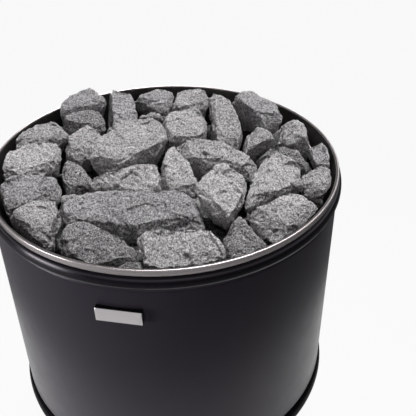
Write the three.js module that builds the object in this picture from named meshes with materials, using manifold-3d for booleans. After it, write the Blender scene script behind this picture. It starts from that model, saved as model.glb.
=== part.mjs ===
// Round electric sauna heater: a black drum on three levelling feet, filled with loose stones.
// Millimetres, +Z up. The origin is on the floor under the middle of the drum; the name plate and
// the controls face -Y.

import * as THREE from "three";
import { ConvexGeometry } from "three/addons/geometries/ConvexGeometry.js";
import { mergeVertices } from "three/addons/utils/BufferGeometryUtils.js";
import Module from "manifold-3d";

const wasm = await Module();
wasm.setup();

// Fits
const CLEARANCE = 0.3; // between pieces that touch
const TURNING_CLEARANCE = 0.6; // round a piece that turns or slides
const ROUND_STEPS = 48; // facets round the drum
const MOUTH_STEPS = 24; // flats that keep the stones off the container
const SMALL_STEPS = 16; // facets round feet, knobs and glands

// Drum
const RIM_RADIUS = 210; // outside of the steel rim and of the shell
const DRUM_HEIGHT = 328; // top of the rim to the underside of the base ring
const FLOOR_GAP = 112; // floor to the underside of the base ring
const RIM_WALL = 2.2;
const RIM_HEIGHT = 7.4;
const COLLAR_HEIGHT = 16.2; // black bead under the rim
const COLLAR_WIDEST = 10.4; // collar's top to its widest line
const BEAD_REACH = 4; // beads stand out from the shell
const SHELL_WALL = 1.5;
const SHOULDER_HEIGHT = 5.2; // rounded ends of the shell
const SHOULDER_INSET = 3.4;
const BASE_HEIGHT = 23.2;
const BASE_WIDEST = 12.6; // base ring's top to its widest line
const BASE_WALL = 6;
const LEDGE_WIDTH = 16; // inside the base ring, under the bottom plate
const LEDGE_HEIGHT = 8;

// Stone space
const CONTAINER_WALL = 1.5;
const CONTAINER_INSET = 20; // straight part of the container, inside the rim radius
const FLARE_HEIGHT = 60; // mouth of the container opens out over this height
const LIP_DROP = 0.8; // container's lip lies below the top of the rim
const CONTAINER_FLANGE = 16;
const SHIELD_WALL = 1;
const SHIELD_DROP = 75; // heat shield ends below the top of the rim
const PLATE_THICKNESS = 3;
const GRATE_THICKNESS = 4;
const SLOT_WIDTH = 8; // air slots in the plate and the grate
const SLOT_LENGTH = 70;
const SLOT_OFFSET = 27; // from each element row
const SLOT_SPREAD = 50; // middle of a slot from the middle of the row

// Heating elements
const ELEMENT_ROWS = 3;
const ROW_PITCH = 58;
const ROD_RADIUS = 4.5;
const BEND_RADIUS = 21;
const ELEMENT_DROP = 92; // top of the bends below the top of the rim
const ELEMENT_LIFT = 22; // lower bend above the grate
const TERMINAL_LENGTH = 24; // rod below the bottom plate
const COLLAR_NUT_RADIUS = 9;
const COLLAR_NUT_HEIGHT = 8;
const ROD_STEPS = 52;

// Legs and feet
const LEG_COUNT = 3;
const LEG_INSET = 50; // middle of each leg inside the rim radius
const LEG_RADIUS = 15;
const LEG_WALL = 2.5;
const LEG_FLANGE_RADIUS = 25;
const LEG_FLANGE_HEIGHT = 3;
const LEG_SOLE = 6;
const STUD_RADIUS = 5;
const STUD_LENGTH = 55;
const PAD_RADIUS = 21;
const PAD_HEIGHT = 10;

// Control box under the drum
const BOX_WIDTH = 190;
const BOX_FRONT = 118; // front wall from the middle of the drum
const BOX_BACK = 92;
const BOX_HEIGHT = 78;
const BOX_WALL = 1.5;
const CONTROL_INSET = 43; // knob axis in from the end of the box
const CONTROL_SPREAD = BOX_WIDTH / 2 - CONTROL_INSET; // knob axis from the middle
const CONTROL_DROP = 48; // knobs below the top of the box
const SWITCH_WIDTH = 42;
const SWITCH_HEIGHT = 40;
const SWITCH_DEPTH = 30;
const LIMITER_RADIUS = 9;
const LIMITER_DEPTH = 26;
const KNOB_RADIUS = 21;
const KNOB_DEPTH = 17;
const KNOB_GRIP = 8;
const KNOB_STANDOFF = 1.5;
const SPINDLE_RADIUS = 3;
const SPINDLE_LENGTH = 14; // inside the box
const BUTTON_RADIUS = 4;
const BUTTON_REACH = 5; // stands out of the front wall
const BUTTON_TRAVEL = 3;
const BLOCK_WIDTH = 92;
const BLOCK_DEPTH = 24;
const BLOCK_HEIGHT = 26;
const BLOCK_POLES = 5;
const BLOCK_GROOVE = 4;
const GLAND_BORE = 7;
const GLAND_NECK = 10;
const GLAND_FLANGE = 15;
const GLAND_LENGTH = 26;
const GLAND_DROP = 40; // middle of the gland below the top of the box
const GLAND_OFFSET = 50; // beside the rear leg

// Name plate on the shell
const NAME_PLATE_WIDTH = 49;
const NAME_PLATE_HEIGHT = 17;
const NAME_PLATE_THICKNESS = 4.5;
const NAME_PLATE_DROP = 59; // middle of the plate below the top of the rim

// Stones
const STONE_GAP = 1; // between neighbours
const STONE_WALL_GAP = 2; // to the container
const STONE_DEPTH = 50; // below the top face
const STONE_SHOULDER = 16; // widest line below the top edge
const STONE_BULGE = 10; // widest line stands out from the top edge
const STONE_FOOT = 0.7; // width at the bottom against the top face
const SEAT_GROWTH = 0.7; // hollow in the lower stones round each upper one
const BED_DROP = 34; // middle of the topmost lower stones below the rim
const LOWER_STONE = 105; // reach of each deep stone from its middle
const BED_STONE = 62; // reach of each stone just under the upper ones
const STONE_CORNERS = 8; // of each lower stone
const BED_SEED = 7;
const LAYOUT_TURN = 15; // degrees from the pile's own front to the name plate's side

// Heights
const RIM_TOP = FLOOR_GAP + DRUM_HEIGHT;
const COLLAR_TOP = RIM_TOP - RIM_HEIGHT - CLEARANCE;
const SHELL_TOP = COLLAR_TOP - COLLAR_HEIGHT - CLEARANCE;
const BASE_TOP = FLOOR_GAP + BASE_HEIGHT;
const SHELL_BOTTOM = BASE_TOP + CLEARANCE;
const PLATE_BOTTOM = FLOOR_GAP + LEDGE_HEIGHT + CLEARANCE;
const PLATE_TOP = PLATE_BOTTOM + PLATE_THICKNESS;
const CONTAINER_BOTTOM = PLATE_TOP + CLEARANCE;
const GRATE_BOTTOM = CONTAINER_BOTTOM + CONTAINER_WALL + CLEARANCE;
const GRATE_TOP = GRATE_BOTTOM + GRATE_THICKNESS;
const BOX_TOP = PLATE_BOTTOM - CLEARANCE;

// Radii
const LIP_OUTER = RIM_RADIUS - RIM_WALL - CLEARANCE;
const MOUTH_RADIUS = LIP_OUTER - CONTAINER_WALL;
const CONTAINER_RADIUS = RIM_RADIUS - CONTAINER_INSET;
const FLARE = MOUTH_RADIUS - CONTAINER_RADIUS;
const LIP_TOP = RIM_TOP - LIP_DROP;
const SHELL_INNER = RIM_RADIUS - SHELL_WALL;
const BASE_INNER = RIM_RADIUS - BASE_WALL;
const SHIELD_RADIUS = (CONTAINER_RADIUS + CONTAINER_WALL + SHELL_INNER) / 2;
const PLATE_RADIUS = BASE_INNER - CLEARANCE;
const LEG_CIRCLE = RIM_RADIUS - LEG_INSET;

// Upper stones: corners of each top face as [x, y, height over the rim], in hundredths of the mouth's radius.
const STONES = [
  [[-68, 73, 6], [-61, 78, 10], [-48, 80, 12], [-38, 73, 11], [-40, 64, 7], [-64, 61, 5]],
  [[-38, 75, 9], [-30, 79, 10], [-21, 73, 9], [-18, 60, 7], [-17, 48, 4], [-27, 47, 4], [-36, 37, 1]],
  [[-63, 56, 4], [-51, 60, 6], [-42, 59, 6], [-39, 50, 4], [-45, 44, 2], [-62, 49, 2]],
  [[-18, 71, 8], [-13, 77, 9], [-2, 79, 10], [8, 78, 9], [4, 60, 5], [-4, 63, 5]],
  [[10, 85, 4], [30, 86, 4], [31, 80, 3], [26, 68, 2], [20, 63, 2], [6, 67, 3]],
  [[-15, 53, 0], [-11, 60, 2], [-6, 64, 2], [4, 56, 1], [-1, 53, 0]],
  [[5, 50, 6], [14, 54, 7], [24, 52, 7], [27, 46, 6], [25, 19, 4], [5, 23, 2], [0, 33, 3]],
  [[31, 67, 11], [41, 67, 11], [46, 53, 10], [50, 42, 8], [52, 25, 2], [46, 17, -1], [33, 22, -1]],
  [[47, 56, 12], [56, 61, 14], [66, 54, 13], [75, 43, 10], [75, 33, 7], [63, 33, 8], [58, 43, 10]],
  [[76, 32, 5], [88, 33, 5], [91, 23, 4], [89, 13, 1], [82, 16, 1], [74, 22, 2]],
  [[52, 28, 3], [60, 29, 4], [67, 22, 3], [69, 17, 1], [58, 11, 0], [47, 8, 0]],
  [[59, 11, -4], [65, 17, -2], [72, 11, -2], [83, 6, -3], [90, 0, -5], [85, -7, -8], [62, 5, -7]],
  [[86, 1, 2], [94, 5, 3], [97, 1, 2], [97, -7, 0], [96, -14, -2], [87, -12, -2]],
  [[51, -26, 7], [61, -12, 8], [69, -14, 8], [77, -20, 5], [67, -37, 1], [44, -48, 1], [42, -41, 3]],
  [[78, -28, 2], [85, -22, 3], [94, -21, 2], [93, -34, 0], [89, -43, -3], [80, -36, -1]],
  [[-42, 6, 8], [-35, 18, 10], [-24, 33, 11], [-1, 34, 10], [1, 12, 6], [-20, -7, 4], [-43, 0, 4]],
  [[-55, 35, 5], [-47, 37, 6], [-37, 28, 4], [-45, 17, 2], [-51, 10, 1], [-58, 14, 1], [-59, 30, 4]],
  [[11, 13, 5], [20, 14, 6], [37, 7, 6], [48, 1, 4], [52, -7, 1], [49, -14, -1], [33, -10, 2], [14, -2, 2]],
  [[-1, -2, 7], [5, 3, 9], [10, -2, 7], [15, -14, 2], [17, -25, -3], [3, -26, -3], [-3, -18, -1]],
  [[-43, -16, 1], [-34, -15, 3], [-16, -11, 5], [-5, -12, 5], [-4, -27, -2], [-20, -28, -4], [-43, -19, -1]],
  [[-61, 3, 2], [-55, 3, 3], [-49, -1, 3], [-43, -14, 0], [-46, -19, -3], [-56, -21, -3]],
  [[-56, -33, 2], [-28, -38, 5], [14, -38, 3], [16, -50, 0], [15, -59, -4], [-10, -61, -4], [-54, -52, -2]],
  [[17, -41, 7], [22, -29, 9], [32, -24, 10], [41, -29, 8], [44, -36, 6], [39, -53, 2], [31, -62, 1]],
  [[42, -64, 4], [50, -59, 5], [65, -50, 5], [74, -50, 4], [80, -61, 1], [69, -71, -2], [58, -77, -4]],
  [[37, -59, 4], [42, -71, 2], [48, -83, -5], [30, -89, -6], [27, -80, -5], [31, -65, -1]],
  [[-16, -80, 2], [-13, -75, 4], [1, -75, 5], [20, -76, 4], [26, -86, 1], [24, -94, -3], [-11, -95, -5]],
  [[-54, -63, 3], [-41, -64, 4], [-18, -78, 0], [-16, -83, -3], [-34, -88, -4], [-48, -85, -3]],
  [[-33, -88, -5], [-23, -85, -3], [-14, -85, -3], [-12, -91, -6], [-22, -91, -6]],
  [[-92, 34, 2], [-80, 48, 4], [-68, 46, 6], [-62, 34, 5], [-73, 23, 3], [-90, 22, 0]],
  [[-95, 15, 2], [-78, 18, 6], [-63, 15, 7], [-64, -2, 4], [-80, -10, 2], [-95, -2, 0]],
  [[-95, -12, 0], [-80, -15, 4], [-63, -17, 5], [-62, -30, 2], [-75, -39, 0], [-90, -36, -3]],
  [[-83, -48, 0], [-70, -41, 4], [-59, -39, 4], [-57, -56, 2], [-63, -70, -2], [-74, -62, -3]],
];

const blackCoat = new THREE.MeshStandardMaterial({ color: 0x201f22, roughness: 0.45, metalness: 0.2 });
const brushedSteel = new THREE.MeshStandardMaterial({ color: 0xb9b2af, roughness: 0.3, metalness: 1 });
const sheetSteel = new THREE.MeshStandardMaterial({ color: 0x55524f, roughness: 0.5, metalness: 0.9 });
const heaterAlloy = new THREE.MeshStandardMaterial({ color: 0x4a4440, roughness: 0.55, metalness: 0.8 });
const zincSteel = new THREE.MeshStandardMaterial({ color: 0x9a9b9d, roughness: 0.4, metalness: 0.9 });
const blackPlastic = new THREE.MeshStandardMaterial({ color: 0x161616, roughness: 0.5, metalness: 0 });
const paleCeramic = new THREE.MeshStandardMaterial({ color: 0xd8d4c8, roughness: 0.6, metalness: 0 });
const greyStone = new THREE.MeshStandardMaterial({ color: 0x8c8888, roughness: 0.9, metalness: 0 });

const heater = new THREE.Group();

function addPiece(name, geometry, material) {
  const mesh = new THREE.Mesh(geometry, material);
  mesh.name = name;
  heater.add(mesh);
}

// Shape helpers

function bareGeometry(geometry) {
  geometry.deleteAttribute("normal");
  geometry.deleteAttribute("uv");
  return mergeVertices(geometry, 1e-4);
}

function toSolid(geometry) {
  const bare = bareGeometry(geometry.clone());
  const vertProperties = Float32Array.from(bare.attributes.position.array);
  const triVerts = Uint32Array.from(bare.index.array);
  return new wasm.Manifold(new wasm.Mesh({ numProp: 3, vertProperties, triVerts }));
}

function toGeometry(solid) {
  const { numProp, vertProperties, triVerts } = solid.getMesh();
  const positions = [];
  for (const vertex of triVerts) {
    positions.push(...vertProperties.slice(vertex * numProp, vertex * numProp + 3));
  }
  const geometry = new THREE.BufferGeometry();
  geometry.setAttribute("position", new THREE.Float32BufferAttribute(positions, 3));
  geometry.computeVertexNormals();
  return geometry;
}

// Profile points are [radius, height]; a profile off the axis closes on itself.
function spun(profile, steps) {
  const points = profile.map(([radius, height]) => new THREE.Vector2(radius, height));
  if (profile[0][0] > 0) {
    points.push(points[0].clone());
  }
  return new THREE.LatheGeometry(points, steps).rotateX(Math.PI / 2);
}

function block(width, depth, height, x, y, z) {
  return new THREE.BoxGeometry(width, depth, height).translate(x, y, z + height / 2);
}

// Round bar along Y from y0 to y1.
function barAlongY(radius, y0, y1, x, z, steps = SMALL_STEPS) {
  return new THREE.CylinderGeometry(radius, radius, y1 - y0, steps).translate(x, (y0 + y1) / 2, z);
}

function circlePoints(radius, steps, x = 0, y = 0) {
  return Array.from({ length: steps }, (_, k) => {
    const angle = (2 * Math.PI * k) / steps;
    return new THREE.Vector2(x + radius * Math.cos(angle), y + radius * Math.sin(angle));
  });
}

// Points on a quarter of an ellipse, from angle a to angle b in degrees.
function ellipseArc(radius, height, across, up, a, b, steps) {
  return Array.from({ length: steps + 1 }, (_, k) => {
    const angle = THREE.MathUtils.degToRad(a + ((b - a) * k) / steps);
    return [radius + across * Math.cos(angle), height + up * Math.sin(angle)];
  });
}

// Drum

function makeRim() {
  const edge = RIM_WALL / 2;
  const bottom = RIM_TOP - RIM_HEIGHT;
  const profile = [
    [RIM_RADIUS - RIM_WALL, bottom],
    [RIM_RADIUS, bottom],
    ...ellipseArc(RIM_RADIUS - edge, RIM_TOP - edge, edge, edge, 0, 180, 4),
  ];
  addPiece("rim_band", spun(profile, ROUND_STEPS), brushedSteel);
}

// Convex bead: a flat top and bottom joined by two quarter ellipses.
function beadProfile(inner, top, height, widest) {
  const edge = RIM_RADIUS - 1;
  const reach = BEAD_REACH + 1;
  const middle = top - widest;
  return [
    [inner, top - height],
    ...ellipseArc(edge, middle, reach, height - widest, -90, 0, 2),
    ...ellipseArc(edge, middle, reach, widest, 0, 90, 3).slice(1),
    [inner, top],
  ];
}

function makeCollar() {
  const inner = MOUTH_RADIUS + CLEARANCE;
  const profile = beadProfile(inner, COLLAR_TOP, COLLAR_HEIGHT, COLLAR_WIDEST);
  addPiece("top_collar", spun(profile, ROUND_STEPS), blackCoat);
}

function makeShell() {
  const inset = RIM_RADIUS - SHOULDER_INSET;
  const under = inset - SHELL_WALL;
  const high = SHELL_TOP - SHOULDER_HEIGHT;
  const low = SHELL_BOTTOM + SHOULDER_HEIGHT;
  const profile = [
    ...ellipseArc(inset, low, SHOULDER_INSET, SHOULDER_HEIGHT, -90, 0, 2),
    ...ellipseArc(inset, high, SHOULDER_INSET, SHOULDER_HEIGHT, 0, 90, 2),
    [under, SHELL_TOP],
    [under, SHELL_TOP - SHELL_WALL],
    [SHELL_INNER, high],
    [SHELL_INNER, low],
    [under, SHELL_BOTTOM + SHELL_WALL],
    [under, SHELL_BOTTOM],
  ];
  addPiece("outer_shell", spun(profile, ROUND_STEPS), blackCoat);
}

function makeBaseRing() {
  const ledge = BASE_INNER - LEDGE_WIDTH;
  const [bottom, ...bead] = beadProfile(BASE_INNER, BASE_TOP, BASE_HEIGHT, BASE_WIDEST);
  const profile = [
    [ledge, bottom[1]],
    ...bead,
    [BASE_INNER, FLOOR_GAP + LEDGE_HEIGHT],
    [ledge, FLOOR_GAP + LEDGE_HEIGHT],
  ];
  addPiece("base_ring", spun(profile, ROUND_STEPS), blackCoat);
}

// Flared sheet drum with an inward flange at the bottom, where the grate lies.
function makeContainer() {
  const outer = CONTAINER_RADIUS + CONTAINER_WALL;
  const neck = LIP_TOP - FLARE_HEIGHT;
  const profile = [
    [CONTAINER_RADIUS - CONTAINER_FLANGE, CONTAINER_BOTTOM],
    [outer, CONTAINER_BOTTOM],
    [outer, neck],
    [LIP_OUTER, LIP_TOP],
    [MOUTH_RADIUS, LIP_TOP],
    [CONTAINER_RADIUS, neck],
    [CONTAINER_RADIUS, CONTAINER_BOTTOM + CONTAINER_WALL],
    [CONTAINER_RADIUS - CONTAINER_FLANGE, CONTAINER_BOTTOM + CONTAINER_WALL],
  ];
  addPiece("stone_container", spun(profile, ROUND_STEPS), sheetSteel);
}

function makeShield() {
  const bottom = PLATE_TOP + CLEARANCE;
  const top = RIM_TOP - SHIELD_DROP;
  const profile = [
    [SHIELD_RADIUS, bottom],
    [SHIELD_RADIUS + SHIELD_WALL, bottom],
    [SHIELD_RADIUS + SHIELD_WALL, top],
    [SHIELD_RADIUS, top],
  ];
  addPiece("heat_shield", spun(profile, ROUND_STEPS), zincSteel);
}

// Rods, plate and grate

const rows = Array.from({ length: ELEMENT_ROWS }, (_, k) => (k - (ELEMENT_ROWS - 1) / 2) * ROW_PITCH);
const rodSides = [-3 * BEND_RADIUS, 3 * BEND_RADIUS];

// Disc with a hole for each rod and air slots beside each row.
function slottedDisc(radius, thickness, bottom) {
  const top = bottom + thickness;
  const depth = 3 * thickness;
  const low = bottom - thickness;
  let disc = toSolid(spun([[0, bottom], [radius, bottom], [radius, top], [0, top]], ROUND_STEPS));
  for (const y of rows) {
    for (const x of rodSides) {
      const hole = barAlongY(ROD_RADIUS + TURNING_CLEARANCE, 0, depth, 0, 0, 8);
      disc = disc.subtract(toSolid(hole.rotateX(Math.PI / 2).translate(x, y, low)));
    }
  }
  for (const y of [rows[0] - SLOT_OFFSET, ...rows.map((row) => row + SLOT_OFFSET)]) {
    for (const x of [-SLOT_SPREAD, SLOT_SPREAD]) {
      disc = disc.subtract(toSolid(block(SLOT_LENGTH, SLOT_WIDTH, depth, x, y, low)));
    }
  }
  return toGeometry(disc);
}

function makePlates() {
  addPiece("bottom_plate", slottedDisc(PLATE_RADIUS, PLATE_THICKNESS, PLATE_BOTTOM), zincSteel);
  const grate = slottedDisc(CONTAINER_RADIUS - CLEARANCE, GRATE_THICKNESS, GRATE_BOTTOM);
  addPiece("stone_grate", grate, sheetSteel);
}

// Four upright runs joined by three bends, in a plane across the drum.
function elementPath(y) {
  const foot = PLATE_BOTTOM - TERMINAL_LENGTH;
  const high = RIM_TOP - ELEMENT_DROP - BEND_RADIUS;
  const low = GRATE_TOP + ELEMENT_LIFT + BEND_RADIUS;
  const at = (run, z) => new THREE.Vector3((2 * run - 3) * BEND_RADIUS, y, z);
  const bend = (run, z, side) => {
    const corner = (k) => at(run + 0.5 - 0.5 * Math.cos(k), z + side * BEND_RADIUS * Math.sin(k));
    const points = Array.from({ length: 7 }, (_, k) => corner((Math.PI * k) / 6));
    return new THREE.CatmullRomCurve3(points);
  };
  const path = new THREE.CurvePath();
  path.add(new THREE.LineCurve3(at(0, foot), at(0, high)));
  path.add(bend(0, high, 1));
  path.add(new THREE.LineCurve3(at(1, high), at(1, low)));
  path.add(bend(1, low, -1));
  path.add(new THREE.LineCurve3(at(2, low), at(2, high)));
  path.add(bend(2, high, 1));
  path.add(new THREE.LineCurve3(at(3, high), at(3, foot)));
  return path;
}

function makeElements() {
  const section = new THREE.Shape(circlePoints(ROD_RADIUS, 6));
  rows.forEach((y, k) => {
    const rod = new THREE.ExtrudeGeometry(section, { steps: ROD_STEPS, extrudePath: elementPath(y) });
    let element = toSolid(rod);
    for (const x of rodSides) {
      const nut = new THREE.CylinderGeometry(COLLAR_NUT_RADIUS, COLLAR_NUT_RADIUS, COLLAR_NUT_HEIGHT, 6);
      nut.rotateX(Math.PI / 2).translate(x, y, PLATE_BOTTOM - CLEARANCE - COLLAR_NUT_HEIGHT / 2);
      element = element.add(toSolid(nut));
    }
    addPiece(`heating_element_${k + 1}`, toGeometry(element), heaterAlloy);
  });
}

// Legs and levelling feet

function makeLegs() {
  const bottom = PAD_HEIGHT + CLEARANCE;
  const top = PLATE_BOTTOM - CLEARANCE;
  const bore = STUD_RADIUS + TURNING_CLEARANCE;
  const leg = [
    [bore, bottom],
    [LEG_RADIUS, bottom],
    [LEG_RADIUS, top - LEG_FLANGE_HEIGHT],
    [LEG_FLANGE_RADIUS, top - LEG_FLANGE_HEIGHT],
    [LEG_FLANGE_RADIUS, top],
    [LEG_RADIUS - LEG_WALL, top],
    [LEG_RADIUS - LEG_WALL, bottom + LEG_SOLE],
    [bore, bottom + LEG_SOLE],
  ];
  const foot = [
    [0, 0],
    [PAD_RADIUS, 0],
    [PAD_RADIUS, PAD_HEIGHT / 2],
    [PAD_RADIUS / 2, PAD_HEIGHT],
    [STUD_RADIUS, PAD_HEIGHT],
    [STUD_RADIUS, PAD_HEIGHT + STUD_LENGTH],
    [0, PAD_HEIGHT + STUD_LENGTH],
  ];
  for (let k = 0; k < LEG_COUNT; k += 1) {
    const angle = Math.PI / 2 + (2 * Math.PI * k) / LEG_COUNT;
    const x = LEG_CIRCLE * Math.cos(angle);
    const y = LEG_CIRCLE * Math.sin(angle);
    addPiece(`leg_${k + 1}`, spun(leg, SMALL_STEPS).translate(x, y, 0), blackCoat);
    addPiece(`foot_${k + 1}`, spun(foot, SMALL_STEPS).translate(x, y, 0), zincSteel);
  }
}

// Controls

const controlZ = BOX_TOP - CONTROL_DROP;
const frontFace = -BOX_FRONT;
const frontInside = -BOX_FRONT + BOX_WALL;
const controlSides = { timer: -CONTROL_SPREAD, thermostat: CONTROL_SPREAD };

function makeControlBox() {
  const length = BOX_FRONT + BOX_BACK;
  const middle = (BOX_BACK - BOX_FRONT) / 2;
  const bottom = BOX_TOP - BOX_HEIGHT;
  const width = BOX_WIDTH - 2 * BOX_WALL;
  const hollow = block(width, length - 2 * BOX_WALL, BOX_HEIGHT, 0, middle, bottom + BOX_WALL);
  let box = toSolid(block(BOX_WIDTH, length, BOX_HEIGHT, 0, middle, bottom)).subtract(toSolid(hollow));
  const cut = (radius, y, x, z) => {
    box = box.subtract(toSolid(barAlongY(radius, y - 2 * BOX_WALL, y + 2 * BOX_WALL, x, z)));
  };
  cut(SPINDLE_RADIUS + 2 * TURNING_CLEARANCE, frontFace, controlSides.timer, controlZ);
  cut(SPINDLE_RADIUS + 2 * TURNING_CLEARANCE, frontFace, controlSides.thermostat, controlZ);
  cut(BUTTON_RADIUS + TURNING_CLEARANCE, frontFace, 0, controlZ);
  cut(GLAND_NECK + CLEARANCE, BOX_BACK, GLAND_OFFSET, BOX_TOP - GLAND_DROP);
  addPiece("control_box", toGeometry(box), blackCoat);
}

function makeSwitches() {
  const bore = SPINDLE_RADIUS + TURNING_CLEARANCE;
  const front = frontInside + CLEARANCE;
  for (const [name, x] of Object.entries(controlSides)) {
    const y = front + SWITCH_DEPTH / 2;
    const body = block(SWITCH_WIDTH, SWITCH_DEPTH, SWITCH_HEIGHT, x, y, controlZ - SWITCH_HEIGHT / 2);
    const socket = barAlongY(bore, front - 1, frontInside + SPINDLE_LENGTH + 1, x, controlZ);
    addPiece(`${name}_switch`, toGeometry(toSolid(body).subtract(toSolid(socket))), blackPlastic);
    addPiece(`${name}_knob`, makeKnob(x), blackPlastic);
  }
  const seat = front + BUTTON_TRAVEL;
  const limiter = toSolid(barAlongY(LIMITER_RADIUS, front, front + LIMITER_DEPTH, 0, controlZ));
  const well = barAlongY(BUTTON_RADIUS + TURNING_CLEARANCE, front - 1, seat + 2 * BUTTON_TRAVEL, 0, controlZ);
  addPiece("overheat_limiter", toGeometry(limiter.subtract(toSolid(well))), paleCeramic);
  const button = barAlongY(BUTTON_RADIUS, frontFace - BUTTON_REACH, seat, 0, controlZ);
  addPiece("reset_button", button, blackPlastic);
}

// Round knob with a grip bar across its face and a spindle behind.
function makeKnob(x) {
  const back = frontFace - KNOB_STANDOFF;
  const skirt = back - KNOB_DEPTH / 2;
  const face = back - KNOB_DEPTH;
  const grip = block(KNOB_GRIP, KNOB_DEPTH / 2 + 1, 2 * KNOB_RADIUS - 4, x, 0, controlZ - KNOB_RADIUS + 2);
  grip.translate(0, (face + skirt + 1) / 2, 0);
  const disc = toSolid(barAlongY(KNOB_RADIUS, skirt, back, x, controlZ, 2 * SMALL_STEPS));
  const spindle = toSolid(barAlongY(SPINDLE_RADIUS, skirt, frontInside + SPINDLE_LENGTH, x, controlZ));
  return toGeometry(disc.add(toSolid(grip)).add(spindle));
}

function makeTerminals() {
  const back = BOX_BACK - BOX_WALL - CLEARANCE;
  const bottom = BOX_TOP - BOX_HEIGHT + BOX_WALL + CLEARANCE;
  const y = back - BLOCK_DEPTH / 2;
  let terminals = toSolid(block(BLOCK_WIDTH, BLOCK_DEPTH, BLOCK_HEIGHT, -GLAND_OFFSET / 2, y, bottom));
  const pitch = BLOCK_WIDTH / BLOCK_POLES;
  for (let k = 1; k < BLOCK_POLES; k += 1) {
    const x = -GLAND_OFFSET / 2 + (k - BLOCK_POLES / 2) * pitch;
    const groove = block(BLOCK_GROOVE, 2 * BLOCK_DEPTH, BLOCK_HEIGHT, x, y, bottom + BLOCK_HEIGHT / 2);
    terminals = terminals.subtract(toSolid(groove));
  }
  addPiece("terminal_block", toGeometry(terminals), paleCeramic);
  const gland = [
    [GLAND_BORE, -3 * BOX_WALL],
    [GLAND_NECK, -3 * BOX_WALL],
    [GLAND_NECK, CLEARANCE],
    [GLAND_FLANGE, CLEARANCE],
    [GLAND_FLANGE, GLAND_LENGTH / 3],
    [GLAND_FLANGE - 2, GLAND_LENGTH / 3],
    [GLAND_FLANGE - 2, GLAND_LENGTH - 4],
    [GLAND_FLANGE - 4, GLAND_LENGTH],
    [GLAND_BORE, GLAND_LENGTH],
  ];
  const ring = spun(gland, SMALL_STEPS).rotateX(-Math.PI / 2);
  addPiece("cable_gland", ring.translate(GLAND_OFFSET, BOX_BACK, BOX_TOP - GLAND_DROP), blackPlastic);
}

// Flat-faced plate whose back follows the shell.
function makeNamePlate() {
  const front = -(RIM_RADIUS + CLEARANCE + NAME_PLATE_THICKNESS);
  const depth = 3 * NAME_PLATE_THICKNESS;
  const middle = RIM_TOP - NAME_PLATE_DROP;
  const bottom = middle - NAME_PLATE_HEIGHT / 2;
  const plate = block(NAME_PLATE_WIDTH, depth, NAME_PLATE_HEIGHT, 0, front + depth / 2, bottom);
  const low = bottom - NAME_PLATE_HEIGHT;
  const high = bottom + 2 * NAME_PLATE_HEIGHT;
  const radius = RIM_RADIUS + CLEARANCE;
  const drum = spun([[0, low], [radius, low], [radius, high], [0, high]], 4 * ROUND_STEPS);
  addPiece("name_plate", toGeometry(toSolid(plate).subtract(toSolid(drum))), brushedSteel);
}

// Stones

function seededRandom(seed) {
  let state = seed;
  return () => {
    state = (state * 16807) % 2147483647;
    return state / 2147483647;
  };
}

// Part of a convex stone on one side of a plane: points with normal . p <= distance.
function clipped(points, normal, distance) {
  const inside = points.filter((point) => normal.dot(point) <= distance);
  const outside = points.filter((point) => normal.dot(point) > distance);
  if (outside.length === 0) {
    return points;
  }
  const cuts = [];
  for (const a of inside) {
    for (const b of outside) {
      const share = (distance - normal.dot(a)) / (normal.dot(b) - normal.dot(a));
      cuts.push(a.clone().lerp(b, share));
    }
  }
  return hullCorners([...inside, ...cuts]);
}

function hullCorners(points) {
  const bare = bareGeometry(new ConvexGeometry(points));
  const position = bare.attributes.position;
  const corner = (_, k) => new THREE.Vector3().fromBufferAttribute(position, k);
  return Array.from({ length: position.count }, corner);
}

function middleOf(points) {
  return points.reduce((sum, point) => sum.add(point), new THREE.Vector3()).divideScalar(points.length);
}

// Face normals of a convex stone.
function faceNormals(points) {
  const position = new ConvexGeometry(points).attributes.position;
  const normals = [];
  for (let k = 0; k < position.count; k += 3) {
    const [a, b, c] = [0, 1, 2].map((n) => new THREE.Vector3().fromBufferAttribute(position, k + n));
    normals.push(b.sub(a).cross(c.sub(a)).normalize());
  }
  return normals;
}

// Rough stone under its top face: a wider shoulder and a narrow foot.
function stoneCorners(face) {
  const unit = MOUTH_RADIUS / 100;
  const turn = THREE.MathUtils.degToRad(LAYOUT_TURN);
  const up = new THREE.Vector3(0, 0, 1);
  const top = face.map(([x, y, z]) => {
    const corner = new THREE.Vector3(x * unit, y * unit, RIM_TOP + z * unit);
    return corner.applyAxisAngle(up, turn);
  });
  const middle = middleOf(top);
  const shoulder = [];
  const foot = [];
  for (const corner of top) {
    const out = new THREE.Vector3(corner.x - middle.x, corner.y - middle.y, 0);
    const bulge = out.clone().setLength(STONE_BULGE).setZ(-STONE_SHOULDER);
    shoulder.push(corner.clone().add(bulge));
    foot.push(middle.clone().addScaledVector(out, STONE_FOOT).setZ(middle.z - STONE_DEPTH));
  }
  return hullCorners([...top, ...shoulder, ...foot]);
}

// Keeps a stone inside the flared mouth of the container.
function insideMouth(points) {
  const lean = Math.atan2(FLARE, FLARE_HEIGHT);
  const reach = (MOUTH_RADIUS - STONE_WALL_GAP) * Math.cos(Math.PI / MOUTH_STEPS);
  let kept = points;
  for (let k = 0; k < MOUTH_STEPS; k += 1) {
    const angle = (2 * Math.PI * k) / MOUTH_STEPS;
    const normal = new THREE.Vector3(Math.cos(angle), Math.sin(angle), -Math.tan(lean)).normalize();
    kept = clipped(kept, normal, reach * Math.cos(lean) - LIP_TOP * Math.sin(lean));
  }
  return kept;
}

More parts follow.
